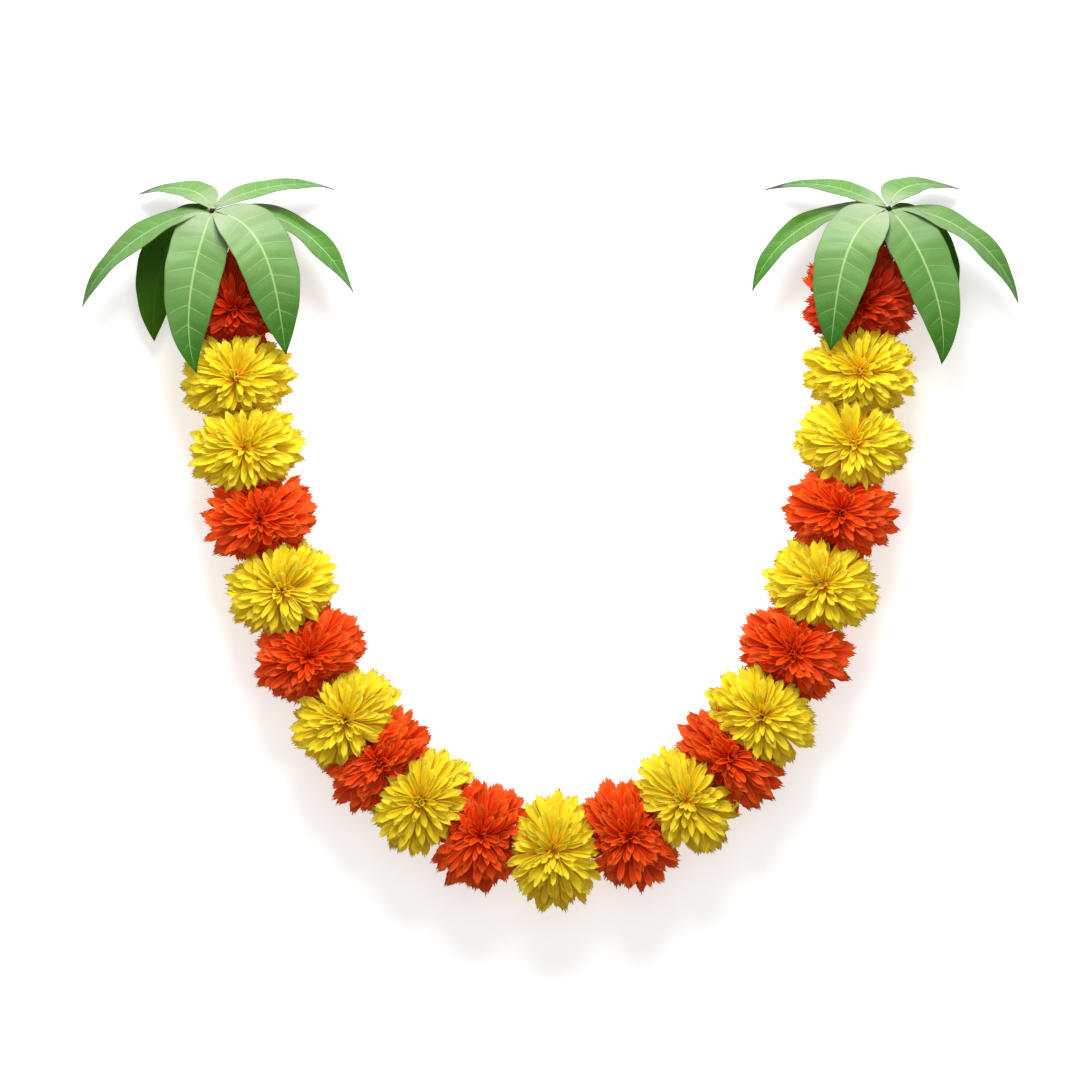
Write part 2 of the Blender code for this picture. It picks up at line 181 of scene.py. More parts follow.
def bend_clear(grid, own_walls, allowed):
    """Shifts the rows of a petal back where a side of it would pass a wall by more than is allowed."""
    for wall, sign in own_walls:
        beyond = past_wall(grid, wall, sign).max(axis=1) - allowed
        beyond = np.maximum.accumulate(np.maximum(beyond, 0))
        grid = grid - sign * beyond[:, None, None] * wall["level"]
    return grid


print("walls:", len(walls))

# %% [markdown]
# ## One petal
#
# A marigold petal is a strap that widens from a narrow claw to a blunt, toothed end, pleated lengthwise, and
# the inner ones are still folded like a spoon. A flat card with a picture on it would show straight edges. So
# a petal is a grid of points, with rows along a bent centre line and columns across it, and the same grid
# moved half a thickness to each side gives a closed thin blade.

# %% Petal grid
ROWS = np.array([0, 0.22, 0.42, 0.6, 0.75, 0.87, 0.95, 1])
COLUMNS = np.array([-1, -0.66, -0.33, 0, 0.33, 0.66, 1])
TEETH = np.array([-2.4, 0.2, -1.3, 1.8, -1.3, 0.2, -2.4])
TOOTH_CHANCE = 0.3
PETAL_TWIST = 0.7
# The pleats' depth on a petal of the usual width, and the ruffle as a share of the width.
PLEAT_DEPTH = 0.16
USUAL_WIDTH = 8
RUFFLE = 0.05


def rising(value, start, length):
    """0 up to the start, then evenly up to 1 over the length."""
    return np.clip((value - start) / length, 0, 1)


def petal_outline(u, tooth):
    """Half width along a petal, as a share: blunt on toothed ones, slim and rounded on the others."""
    blunt = 0.46 + 0.54 * rising(u, 0, 0.66) ** 0.8 - 0.42 * rising(u, 0.7, 0.3) ** 1.8
    spoon = (0.5 + 0.5 * rising(u, 0, 0.6) ** 0.9) * np.sqrt(1 - 0.87 * rising(u, 0.66, 0.34) ** 2)
    return blunt * tooth + spoon * (1 - tooth)


def petal_grid(root, middle, tip, side, width, fold, tooth, rng):
    """Points of one petal's face, as rows by columns."""
    u = ROWS[:, None]
    v = COLUMNS[None, :]
    line = (1 - u) ** 2 * root + 2 * u * (1 - u) * middle + u ** 2 * tip
    ahead = unit_rows(2 * (1 - u) * (middle - root) + 2 * u * (tip - middle))
    turn = rng.uniform(-PETAL_TWIST, PETAL_TWIST) * u
    side = unit_rows(side - ahead * (ahead @ side)[:, None])
    side = side * np.cos(turn) + np.cross(ahead, side) * np.sin(turn)
    face = np.cross(ahead, side)
    half = width / 2 * petal_outline(u, tooth)
    rise = fold * half * np.abs(v) ** 1.6
    pleat = PLEAT_DEPTH * width / USUAL_WIDTH * np.cos(3 * math.pi * v) * np.clip(u * 1.5, 0, 1)
    ruffle = RUFFLE * width * v * np.sin(7 * u + rng.uniform(0, 6.3)) * u
    teeth = TEETH + rng.uniform(-TOOTH_CHANCE, TOOTH_CHANCE, len(COLUMNS))
    reach = teeth * (0.12 * width + 0.25) * rising(u, 0.7, 0.3) ** 1.4 * (0.25 + 0.75 * tooth)
    grid = line[:, None, :] + side[:, None, :] * (half * v)[..., None]
    return grid + face[:, None, :] * (rise + pleat + ruffle)[..., None] + ahead[:, None, :] * reach[..., None]


def face_of(grid):
    """Unit normals of a grid of points."""
    normal = np.cross(np.gradient(grid, axis=0), np.gradient(grid, axis=1))
    return normal / np.maximum(np.linalg.norm(normal, axis=2, keepdims=True), 1e-9)


def blade_faces(rows, columns):
    """Quads of a closed blade: upper face, lower face, then the rim, and at which quad the rim starts."""
    index = np.arange(rows * columns).reshape(rows, columns)
    corners = [index[:-1, :-1], index[:-1, 1:], index[1:, 1:], index[1:, :-1]]
    upper = np.stack(corners, -1).reshape(-1, 4)
    lower = upper[:, [0, 3, 2, 1]] + rows * columns
    ring = np.concatenate([index[0, :], index[1:, -1], index[-1, -2::-1], index[-2:0:-1, 0]])
    following = np.roll(ring, -1)
    rim = np.stack([ring, ring + rows * columns, following + rows * columns, following], 1)
    return np.concatenate([upper, lower, rim]), len(upper) + len(lower)


PETAL_FACES, PETAL_RIM = blade_faces(len(ROWS), len(COLUMNS))
print("quads in one petal:", len(PETAL_FACES))

# %% [markdown]
# ## From arrays to a mesh
#
# One helper turns arrays into a Blender mesh, far faster than adding vertices one by one in bmesh. Numbers
# that the materials read, such as how far along a petal a point lies, are stored on the points. The rim's
# edges stay sharp, so a thin blade shades evenly right up to its edge.

# %% Mesh helpers


def add_object(name, data):
    made = bpy.data.objects.new(name, data)
    bpy.context.scene.collection.objects.link(made)
    return made


def make_mesh(name, points, faces, values, look, slot, node, sharp=None):
    """A smooth mesh from points in mm, that rides on the root body and stands for one CAD node."""
    mesh = bpy.data.meshes.new(name)
    mesh.vertices.add(len(points))
    mesh.vertices.foreach_set("co", (np.asarray(points) * MM).astype(np.float32).ravel())
    mesh.loops.add(faces.size)
    mesh.loops.foreach_set("vertex_index", faces.astype(np.int32).ravel())
    mesh.polygons.add(len(faces))
    mesh.polygons.foreach_set("loop_start", np.arange(0, faces.size, faces.shape[1], dtype=np.int32))
    mesh.update(calc_edges=True)
    mesh.validate()
    mesh.shade_smooth()
    if sharp is not None:
        loop_edges = np.empty(len(mesh.loops), np.int32)
        mesh.loops.foreach_get("edge_index", loop_edges)
        marked = np.zeros(len(mesh.edges), bool)
        marked[loop_edges.reshape(-1, faces.shape[1])[sharp].ravel()] = True
        mesh.edges.foreach_set("use_edge_sharp", marked)
    for key, numbers in values.items():
        layer = mesh.attributes.new(key, "FLOAT", "POINT")
        layer.data.foreach_set("value", np.asarray(numbers, np.float32).ravel())
    mesh.materials.append(look)
    made = add_object(name, mesh)
    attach(made, "root")
    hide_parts(node)
    return made


def wrapped_quads(rows, columns):
    """Quads between rows of points that close round, as on a tube or a turned pot."""
    index = np.arange(rows * columns).reshape(rows, columns)
    after = np.roll(index, -1, axis=1)
    return np.stack([index[:-1], after[:-1], after[1:], index[1:]], -1).reshape(-1, 4)


def joined(pieces):
    """Several shapes, each given by its points and quads, as one."""
    starts = np.cumsum([0] + [len(points) for points, _ in pieces])
    quads = [quads + start for (_, quads), start in zip(pieces, starts)]
    return np.concatenate([points for points, _ in pieces]), np.concatenate(quads)


def sphere_grid(rows, columns):
    """Unit directions and outward quads of a ball. A tiny hole is left at each pole."""
    theta = np.linspace(0.02, math.pi - 0.02, rows)[:, None]
    psi = np.linspace(0, 2 * math.pi, columns, endpoint=False)[None, :]
    shape = (np.sin(theta) * np.cos(psi), np.sin(theta) * np.sin(psi), np.cos(theta) + 0 * psi)
    return np.stack(shape, -1).reshape(-1, 3), wrapped_quads(rows, columns)[:, [0, 3, 2, 1]]


CORE_BALL, CORE_QUADS = sphere_grid(12, 16)
print("quads in a bloom's core:", len(CORE_QUADS))

# %% [markdown]
# ## Shader nodes in code
#
# Nodes can be linked by hand in the shader editor. In code, a small class that adds a node, links its inputs
# and hands back its output makes a long chain of nodes read like arithmetic.

# %% Node helpers


class Graph:
    """Short spelling for adding and linking nodes in one tree."""

    def __init__(self, tree):
        self.tree = tree

    def add(self, kind, **inputs):
        node = self.tree.nodes.new(kind)
        self.fill(node, inputs)
        return node

    def fill(self, node, inputs):
        for key, value in inputs.items():
            self.put(node.inputs[key.replace("_", " ")], value)

    def put(self, socket, value):
        if isinstance(value, bpy.types.NodeSocket):
            self.tree.links.new(value, socket)
        else:
            socket.default_value = value

    def math(self, operation, a, b=0, clamp=False):
        node = self.tree.nodes.new("ShaderNodeMath")
        node.operation = operation
        node.use_clamp = clamp
        self.put(node.inputs[0], a)
        self.put(node.inputs[1], b)
        return node.outputs[0]

    def plus(self, a, b):
        return self.math("ADD", a, b)

    def minus(self, a, b):
        return self.math("SUBTRACT", a, b)

    def times(self, a, b, clamp=False):
        return self.math("MULTIPLY", a, b, clamp)

    def ramp(self, value, low, high):
        """0 below low, 1 above high, smooth between."""
        node = self.add("ShaderNodeMapRange", Value=value, From_Min=low, From_Max=high)
        node.interpolation_type = "SMOOTHSTEP"
        return node.outputs["Result"]

    def mix(self, factor, a, b, blend="MIX"):
        node = self.tree.nodes.new("ShaderNodeMix")
        node.data_type = "RGBA"
        node.blend_type = blend
        self.fill(node, {"Factor": factor, "A": a, "B": b})
        return node.outputs["Result"]

    def paint(self, colour, layers):
        """Mixes one colour after another over the first, each by a mask and a strength."""
        for mask, strength, over in layers:
            colour = self.mix(self.times(mask, strength), colour, over)
        return colour

    def attribute(self, name):
        node = self.tree.nodes.new("ShaderNodeAttribute")
        node.attribute_name = name
        return node.outputs["Fac"]

    def group(self, tree, names):
        """A node group whose inputs read the attributes of the same names."""
        node = self.tree.nodes.new("ShaderNodeGroup")
        node.node_tree = tree
        self.fill(node, {name: self.attribute(name.lower()) for name in names})
        return node

    def noise(self, scale, detail):
        """Noise in the object's own space, so that it stays with the piece."""
        where = self.add("ShaderNodeTexCoord").outputs["Object"]
        return self.add("ShaderNodeTexNoise", Vector=where, Scale=scale, Detail=detail).outputs["Fac"]

    def bump(self, height, strength, distance):
        node = self.add("ShaderNodeBump", Height=height, Strength=strength, Distance=distance)
        return node.outputs["Normal"]


def new_material(name, **settings):
    """A material, its graph and its Principled BSDF, with some of its inputs set."""
    made = bpy.data.materials.new(name)
    made.use_nodes = True
    g, shader = Graph(made.node_tree), made.node_tree.nodes["Principled BSDF"]
    g.fill(shader, settings)
    return made, g, shader


def new_group(name, inputs, outputs):
    """A node group with sockets given by name and kind, its graph, what it is given, and its end node."""
    tree = bpy.data.node_groups.new(name, "ShaderNodeTree")
    for way, sockets in (("INPUT", inputs), ("OUTPUT", outputs)):
        for key, kind in sockets.items():
            tree.interface.new_socket(name=key, in_out=way, socket_type="NodeSocket" + kind)
    start, end = tree.nodes.new("NodeGroupInput"), tree.nodes.new("NodeGroupOutput")
    return tree, Graph(tree), start.outputs, end


def rgb(*levels):
    """A colour given as it looks on screen, 0 to 255, as the linear values a shader takes."""
    shares = [level / 255 for level in levels]
    return (*(s / 12.92 if s <= 0.04045 else ((s + 0.055) / 1.055) ** 2.4 for s in shares), 1)


print("middle grey as a linear value:", round(rgb(128)[0], 3))

# %% [markdown]
# ### Petal tint
#
# A petal is deepest in colour near its claw and palest at its tip, with fine darker lines, and a painted
# highlight lightens its side edges, where the rims catch the light. Outer tips are worn, and petals on the low
# side of a bloom get painted shade. Nobody would paint 3,600 petals one by one, so a node group works the
# colour out from numbers stored on the points.

# %% Petal tint group
PETAL_LINES = 21
NUMBERS = ("Along", "Across", "Ring", "Chance", "Shaded")
COLOURS = ("Base", "Middle", "Tip", "WornAndShade")
inputs = dict.fromkeys(NUMBERS, "Float") | dict.fromkeys(COLOURS, "Color")
outputs = {"Colour": "Color", "Roughness": "Float", "Height": "Float"}
petal_tint, g, given, end = new_group("petal_tint", inputs, outputs)
along, across, ring, chance = (given[key] for key in ("Along", "Across", "Ring", "Chance"))
claw = g.ramp(g.plus(along, g.times(ring, 0.6)), 0.12, 0.6)
lines = g.ramp(g.math("SINE", g.times(across, PETAL_LINES)), 0.2, 1)
# A paler tip, fine lines, a painted highlight along the side edges, where rims catch the light, and a deeper
# colour where the chance is below zero: painted shade, on the two end blooms under the leaves.
tint = g.paint(g.mix(claw, given["Base"], given["Middle"]), [
    (g.ramp(along, 0.6, 1), 0.75, given["Tip"]),
    (lines, 0.16, given["Base"]),
    (g.ramp(g.math("ABSOLUTE", across), 0.6, 1), 0.55, given["Tip"]),
    (g.times(chance, -0.9, clamp=True), 1, given["Base"]),
])
bright = g.plus(0.97, g.times(chance, 0.24, clamp=True))
grey = g.add("ShaderNodeCombineColor", Red=bright, Green=bright, Blue=bright).outputs[0]
# Worn tips on the outer rings, and painted shade on the low side of a bloom, away from the main light.
tint = g.paint(g.mix(1, tint, grey, "MULTIPLY"), [
    (g.times(g.ramp(along, 0.9, 1), g.ramp(ring, 0.5, 0.8)), 0.65, given["WornAndShade"]),
    (given["Shaded"], 0.44, given["WornAndShade"]),
])
roughness = g.plus(0.48, g.times(lines, 0.12))
g.fill(end, {"Colour": tint, "Roughness": roughness, "Height": g.times(lines, -1)})
print("petal tint nodes:", len(petal_tint.nodes))

# %% [markdown]
# ### Petal materials
#
# Both kinds of bloom share the tint group. Petals let some light through. A translucent shader would show
# that, but needs single faces, so a weak subsurface term passes part of the light on.

# %% Petal materials
# Base, middle, tip and worn colour of each kind; the worn colour is also the painted shade's colour.
PETAL_COLOURS = {
    "petal_yellow": ((238, 150, 14), (246, 216, 26), (248, 230, 64), (144, 94, 12)),
    "petal_orange": ((198, 16, 8), (238, 64, 8), (250, 108, 24), (92, 28, 8)),
}
SLOTS = {"y": "petal_yellow", "o": "petal_orange"}


def petal_material(name, colours):
    thin = {"Subsurface_Weight": 0.25, "Subsurface_Radius": (1, 0.5, 0.15), "Subsurface_Scale": 0.0012}
    made, g, shader = new_material(name, Specular_IOR_Level=0.14, **thin)
    tint = g.group(petal_tint, NUMBERS)
    g.fill(tint, {key: rgb(*colour) for key, colour in zip(COLOURS, colours)})
    bump = g.bump(tint.outputs["Height"], 0.35, 0.0004)
    looks = {"Base Color": tint.outputs["Colour"], "Roughness": tint.outputs["Roughness"], "Normal": bump}
    g.fill(shader, looks)
    return made


petal_looks = {name: petal_material(name, colours) for name, colours in PETAL_COLOURS.items()}
print("petal materials:", ", ".join(petal_looks))

# %% [markdown]
# ## The blooms
#
# A head grows in rings round its middle. The inner petals stand up, folded and narrow. Each ring further out
# is lower, broader and flatter, the eleventh curls down over the green cup, and a twelfth lies flat behind.
# A particle system could scatter copies of one petal, but they would be alike and cross the neighbours, so a
# loop draws each petal anew. Every ring says at what angle from straight up its petals are rooted and end on
# the head's outer oval, which the neighbours squeeze along the string.

# %% Rings of petals
TIP_HALF = np.array([30.5, 36.5, 26.5])
# Tip and root angle from straight up, count, width, how far the sides fold up, share of teeth, how far the
# middle bows outwards, and the root's depth as a share of the oval.
Ring = namedtuple("Ring", "tip root count width fold tooth bow depth", defaults=[0.5])
RINGS = [
    Ring(10, 2, 5, 3.4, 0.9, 0, 1.2),
    Ring(20, 5, 9, 3.6, 0.85, 0.1, 2),
    Ring(30, 10, 13, 3.8, 0.75, 0.2, 2.6),
    Ring(41, 17, 16, 4.1, 0.65, 0.4, 3),
    Ring(51, 26, 18, 4.5, 0.6, 0.7, 3.4),
    Ring(62, 37, 19, 5.2, 0.5, 1, 3.4),
    Ring(73, 49, 19, 6, 0.42, 1, 3),
    Ring(84, 62, 18, 6.8, 0.36, 1, 2.6),
    Ring(96, 76, 17, 7.2, 0.3, 1, 2.2),
    Ring(109, 91, 15, 7.4, 0.26, 1, 1.6),
    Ring(125, 108, 12, 7.4, 0.24, 1, 1.2),
    Ring(119, 165, 13, 7.8, 0.2, 1, 1, depth=0.62),
]
print("petals in a bloom:", sum(ring.count for ring in RINGS))

# %% [markdown]
# ### One petal's place
#
# A petal's centre line has a root deep in the head, a bowed middle and a tip on the oval, all held back by
# the walls. The outer petals lie low, under the neighbour's crown, and may cross the wall a little. A tip
# that is pushed back also slides sideways.

# %% Petal lines
# How far root and middle stay inside a wall, and how far a tip may lie on either side of it.
ROOT_SPARE = 3.5
MIDDLE_SPARE = 0.8
TIP_CHANCE = 1.5
# Petals that end below this angle may cross a wall, and a petal's side may go further than its middle.
LOW_FROM = 80
CROSSING = 3.6
SIDE_CROSSING = 2
TIP_SLIDE = 0.85
# How much further petals reach on the free side of the end blooms, and half of it at the middle one.
FREE_REACH = 8
Head = namedtuple("Head", "centre axes free walls")


def on_oval(theta, psi, axes):
    """A point of the head's outer oval, in the bloom's own directions."""
    local = np.array([math.sin(theta) * math.cos(psi), math.sin(theta) * math.sin(psi), math.cos(theta)])
    return (local * TIP_HALF) @ axes


def petal_line(ring, psi, head, rng):
    """Root, middle and tip of a petal's centre line, its side direction, and how far it may cross a wall."""
    tip_theta = math.radians(ring.tip + rng.uniform(-11, 11))
    root_theta = math.radians(ring.root + rng.uniform(-3, 3))
    tip = on_oval(tip_theta, psi + rng.uniform(-0.15, 0.15), head.axes) * rng.uniform(0.89, 1.06)
    root = on_oval(root_theta, psi, head.axes) * ring.depth
    tip = tip + head.free * (FREE_REACH * max(0, tip @ head.free) / TIP_HALF[0])
    outward = unit(on_oval((tip_theta + root_theta) / 2, psi, head.axes))
    middle = (root + tip) / 2 + outward * ring.bow * rng.uniform(0.6, 1.4)
    side = unit(np.cross([0, 0, 1], [tip[0], tip[1], 0]))
    root = hold_back(root + head.centre, head.walls, ROOT_SPARE)
    middle = hold_back(middle + head.centre, head.walls, MIDDLE_SPARE)
    crossing = CROSSING if ring.tip > LOW_FROM else 0
    slide = TIP_SLIDE * math.sin(tip_theta) * abs(math.sin(psi))
    tip = hold_back(tip + head.centre, head.walls, rng.uniform(-TIP_CHANCE, TIP_CHANCE) - crossing, slide)
    return root, middle, tip, side, crossing


print("petals that may cross a wall:", sum(ring.count for ring in RINGS if ring.tip > LOW_FROM))

# %% [markdown]
# ### Build the blooms
#
# Each bloom has a seed of its own, so a change to one leaves the others alone. The two under the leaves get
# painted shade, which makes them dimmer and deeper in colour. A smooth core keeps light from falling through
# between the roots, and carries painted shade where it shows.

# %% Build the blooms
SEED = 400
CORE_HALF = np.array([23, 23, 14])
CORE_SPARE = 0.4
# The core is tinted like a claw, with painted shade, where it shows between the roots.
CORE_VALUES = {"along": 0, "across": 0, "ring": 0.5, "chance": 0.2, "shaded": 0.4}
PETAL_FLOOR = 10.5
# How much painted shade the two end blooms get, where they lie under the leaves.
END_BLOOM_SHADE = 0.8
# The petal's half thickness at its root, and how much less it is at its tip.
ROOT_THICK = 0.26
TIP_THINNER = 0.12


def petal_shape(ring, psi, head, rng):
    """Points of both faces of one petal, and where its tip lies."""
    root, middle, tip, side, crossing = petal_line(ring, psi, head, rng)
    width = ring.width * rng.uniform(0.8, 1.2)
    grid = petal_grid(root, middle, tip, side, width, ring.fold, ring.tooth, rng)
    grid = bend_clear(grid, head.walls, SIDE_CROSSING + crossing)
    grid[..., 2] = np.maximum(grid[..., 2], PETAL_FLOOR + 0.4 * np.sin(grid[..., 0]))
    thick = face_of(grid) * (ROOT_THICK - TIP_THINNER * ROWS)[:, None, None]
    return np.concatenate([grid + thick, grid - thick]).reshape(-1, 3), tip


def build_bloom(number, place, along, colour, own_walls):
    rng = np.random.default_rng(SEED + number)
    across = np.array([-along[1], along[0], 0])
    facing = unit(np.array([rng.uniform(-0.1, 0.1), rng.uniform(-0.16, 0.02), 1]))
    centre = np.array([place[0], place[1], BLOOM_Z])
    free = {1: -along, 11: np.array([0, -0.5, 0]), len(spots): along}.get(number, np.zeros(3))
    head = Head(centre, np.array([along, across, facing]), free, own_walls)
    # The two end blooms, under the leaves, get painted shade.
    end_bloom_shade = END_BLOOM_SHADE if number in (1, len(spots)) else 0
    pieces, marks = [], []
    for level, ring in enumerate(RINGS):
        start = rng.uniform(0, 2 * math.pi)
        for k in range(ring.count):
            psi = start + 2 * math.pi * (k + rng.uniform(-0.42, 0.42)) / ring.count
            points, tip = petal_shape(ring, psi, head, rng)
            pieces.append((points, PETAL_FACES))
            heading = unit(tip - centre)
            # Painted shade for petals that point away from the main light, in the outer rings and free of the
            # neighbours.
            low_side_shade = max(0, -heading[1]) * min(level / 6, 1) * abs(heading @ across)
            chance = rng.uniform(0, 1) * (1 - 0.7 * end_bloom_shade) - end_bloom_shade
            marks.append((min(level / 10, 1), chance, low_side_shade))

    count, size = len(marks), len(ROWS) * len(COLUMNS)
    values = {
        "along": np.tile(np.repeat(ROWS, len(COLUMNS)), 2 * count),
        "across": np.tile(COLUMNS, 2 * count * len(ROWS)),
    }
    for key, numbers in zip(("ring", "chance", "shaded"), np.transpose(marks)):
        values[key] = np.repeat(numbers, 2 * size)
    for key, in_core in CORE_VALUES.items():
        values[key] = np.append(values[key], np.full(len(CORE_BALL), in_core))
    rims = [np.arange(PETAL_RIM, len(PETAL_FACES)) + len(PETAL_FACES) * k for k in range(count)]
    nearest = min(sign * ((wall["foot"] - centre) @ wall["level"]) for wall, sign in own_walls)
    half = np.array([min(CORE_HALF[0], nearest - CORE_SPARE), CORE_HALF[1], CORE_HALF[2]])
    pieces.append(((CORE_BALL * half) @ head.axes + centre, CORE_QUADS))
    name = "bloom_%02d" % number
    look, slot = petal_looks[SLOTS[colour]], SLOTS[colour]
    return make_mesh(name + "_petals", *joined(pieces), values, look, slot, name, sharp=np.concatenate(rims))


blooms = []
for i, spot in enumerate(spots):
    own = [(wall, -1) for wall in walls[max(i - 1, 0):i]] + [(wall, 1) for wall in walls[i:i + 1]]
    blooms.append(build_bloom(i + 1, *spot, own))
quads = [len(bloom.data.polygons) for bloom in blooms]
print("quads in a bloom:", quads[0], "in all blooms:", sum(quads))

# %% [markdown]
# ## The green cups
#
# Behind each bloom sits its calyx: a ribbed cup of fused bracts that ends in small points, over a short cut
# length of stem, on which the garland rests. Single bracts in a circle would show gaps that a grown-together
# skin hasn't, so it is turned like a pot from a profile, with a ripple for the ribs.

# %% Calyces
# Radius and height of the profile, from the cut end of the stem, up the cup, over the rim and inwards.
CALYX_PROFILE = np.array([
    (0, 0), (2.4, 0), (3.1, 0.1), (2.9, 1.8), (2.75, 3.4), (3.4, 4.6), (5.6, 7), (7.7, 9),
    (8.6, 11), (9.2, 12.8), (9.7, 14.4), (10.1, 16.1), (9.4, 15.6), (6, 15.3), (0, 15.1),
])
CALYX_SEGMENTS = 42
RIBS = 7
CUP_ROW = 5
RIM_ROW = 11


def soft_material(name, low, high, scale, roughness, bump_distance):
    """A material whose colour wanders between two tones on noise of the given scale."""
    made, g, shader = new_material(name, Roughness=roughness)
    noise = g.noise(scale, 4)
    colour = g.mix(g.ramp(noise, 0.35, 0.65), low, high)
    g.fill(shader, {"Base Color": colour, "Normal": g.bump(noise, 0.5, bump_distance)})
    return made


calyx_skin = soft_material("calyx_skin", rgb(78, 104, 40), rgb(120, 146, 66), 260, 0.62, 0.0003)
angles = np.linspace(0, 2 * math.pi, CALYX_SEGMENTS, endpoint=False)
rows = np.arange(len(CALYX_PROFILE))
ribs = np.where(rows >= CUP_ROW, 0.045, 0.015)[:, None] * np.cos(RIBS * angles)[None, :]
radius = CALYX_PROFILE[:, :1] * (1 + ribs)
lift = np.zeros((len(rows), CALYX_SEGMENTS))
lift[RIM_ROW] = 0.9 * np.maximum(np.cos(RIBS * angles), -0.4)
lift[RIM_ROW - 1] = 0.3 * lift[RIM_ROW]
height = CALYX_PROFILE[:, 1:] + lift
calyx_faces = wrapped_quads(len(rows), CALYX_SEGMENTS)
for i, (place, along, colour) in enumerate(spots):
    spin = math.atan2(along[1], along[0])
    shape = np.stack([radius * np.cos(angles + spin), radius * np.sin(angles + spin), height], -1)
    name = "calyx_%02d" % (i + 1)
    make_mesh(name + "_cup", shape.reshape(-1, 3) + place, calyx_faces, {}, calyx_skin, "calyx_green", name)
print("quads in a cup:", len(calyx_faces))

# %% [markdown]
# ## The leaves
#
# Mango leaves grow in whorls: long, pointed, leathery blades that arch over and hang. Seven are bunched at
# each end. A plane with a bend modifier has one arch, the same all along, while a cubic curve can arch, turn
# and droop in one blade, so each midrib follows one through four points.

# %% Where the leaves lie
HUBS = {"left": np.array([-211.2, 205.6, 45]), "right": np.array([211.7, 206.9, 45])}
DROPS = {"left": np.array([3.6, -21.5, -25]), "right": np.array([-3.6, -21.5, -25])}
BUNDLE_R = 2.19
# Three points of the midrib seen from the hub, the half width, which way the face looks at the stalk and at
# the tip, in degrees from straight up, how broad the base is, from 0.42 for slim to 0.62 for full, and how
# much painted shade deepens the colour of the whole leaf.
LEAVES = {
    "left": {
        "back_inner": ((23.7, 11.7, -9), (51.2, 17, -21), (76.7, 14.2, -38), 11.5, (68, 68), 0.5, 0.2),
        "back_outer": ((-10.3, 11.8, -12), (-27.3, 14.8, -25), (-47.3, 11.3, -38), 13.5, (68, 68), 0.5, 0.1),
        "side_outer": ((-29.3, -7.7, 1), (-60.3, -29.2, -1), (-81.3, -60.2, -12), 15.5, (70, 60), 0.42, 0.3),
        "under": ((-25.6, -19.2, -20), (-35.8, -49.4, -28), (-36.8, -81, -33), 15.5, (40, 25), 0.62, 0),
        "front_outer": ((-6.8, -22.2, 15), (-13.5, -60.6, 19), (-9, -101.6, 9), 18.4, (45, 20), 0.62, 0),
        "front_inner": ((28.2, -17.7, 19.5), (40.7, -51.4, 20), (46.7, -89.9, 9), 18.8, (45, 20), 0.66, 0),
        "side_inner": ((40.7, -4.2, -11), (68.7, -23.5, -11), (88.7, -51.4, -14), 15.5, (69, 68), 0.5, 0.35),
    },
    "right": {
        "back_inner": ((-21.7, 9.9, -9), (-45.7, 15.7, -21), (-77.7, 12.7, -38), 11.5, (68, 68), 0.5, 0.25),
        "back_outer": ((8.8, 12.5, -12), (24.3, 16, -25), (45.3, 13.5, -38), 13.5, (68, 68), 0.5, 0.15),
        "side_outer": ((33.3, -6.5, 0), (62.3, -27, -3), (81.3, -59, -13), 15.5, (70, 59), 0.42, 0.3),
        "under": ((23.8, -18, -20), (33.3, -44, -29), (32.3, -73, -34), 14.5, (40, 25), 0.62, 0),
        "front_outer": ((15.8, -22, 15), (29.8, -58, 19), (32.4, -97.4, 9), 17.5, (45, 20), 0.62, 0.5),
        "front_inner": ((-23.2, -20, 19.5), (-32.8, -53.4, 20), (-36.9, -88.7, 9), 18.8, (45, 20), 0.66, 0),
        "side_inner": ((-37.7, -4, -11), (-66.7, -21.8, -11), (-85.2, -51.5, -14), 15.5, (69, 68), 0.5, 0.5),
    },
}
print("leaves:", sum(len(group) for group in LEAVES.values()))

# %% [markdown]
# ### Curves for a blade
#
# One small function runs smoothly through heights given at a few stations along the blade, for its outline
# and its waves. The other is the cubic through four points, for the midrib.

# %% Curve helpers
STATIONS = np.array([0, 0.05, 0.11, 0.19, 0.31, 0.5, 0.68, 0.85, 1])
WIDE_BASE = np.array([0.07, 0.44, 0.72, 0.92, 0.99, 0.97, 0.79, 0.44, 0])
THIN_BASE = np.array([0.05, 0.16, 0.38, 0.7, 0.96, 0.98, 0.8, 0.45, 0])
WAVES = np.array([0, 0.1, 0.4, 0.3, -0.8, 0.8, -0.8, 0.5, 0])


def eased(s, stations, heights):
    """A smooth curve through the heights given at the stations."""
    slopes = np.gradient(heights, stations)
    k = np.clip(np.searchsorted(stations, s) - 1, 0, len(stations) - 2)
    step = stations[k + 1] - stations[k]
    t = (s - stations[k]) / step
    low = (2 * t ** 3 - 3 * t ** 2 + 1) * heights[k] + (t ** 3 - 2 * t ** 2 + t) * step * slopes[k]
    high = (3 * t ** 2 - 2 * t ** 3) * heights[k + 1] + (t ** 3 - t ** 2) * step * slopes[k + 1]
    return low + high


def cubic_through(p0, p1, p2, p3, s):
    """The cubic curve that passes p0, p1, p2 and p3 at 0, 1/3, 2/3 and 1."""
    s = np.asarray(s)[..., None]
    a = (s - 1 / 3) * (s - 2 / 3) * (s - 1) / (-2 / 9)
    b = s * (s - 2 / 3) * (s - 1) / (2 / 27)
    c = s * (s - 1 / 3) * (s - 1) / (-2 / 27)
    d = s * (s - 1 / 3) * (s - 2 / 3) / (2 / 9)
    return p0 * a + p1 * b + p2 * c + p3 * d


print("stations along a blade:", len(STATIONS))

# %% [markdown]
# ### The blade's grid
#
# A blade is a grid like a petal's, with columns crowded round the midrib. Its edges wave, and its skin is
# raised between the side veins like a quilt. The veins drawn by the material are counted by the same formula,
# so they lie in the quilt's hollows.

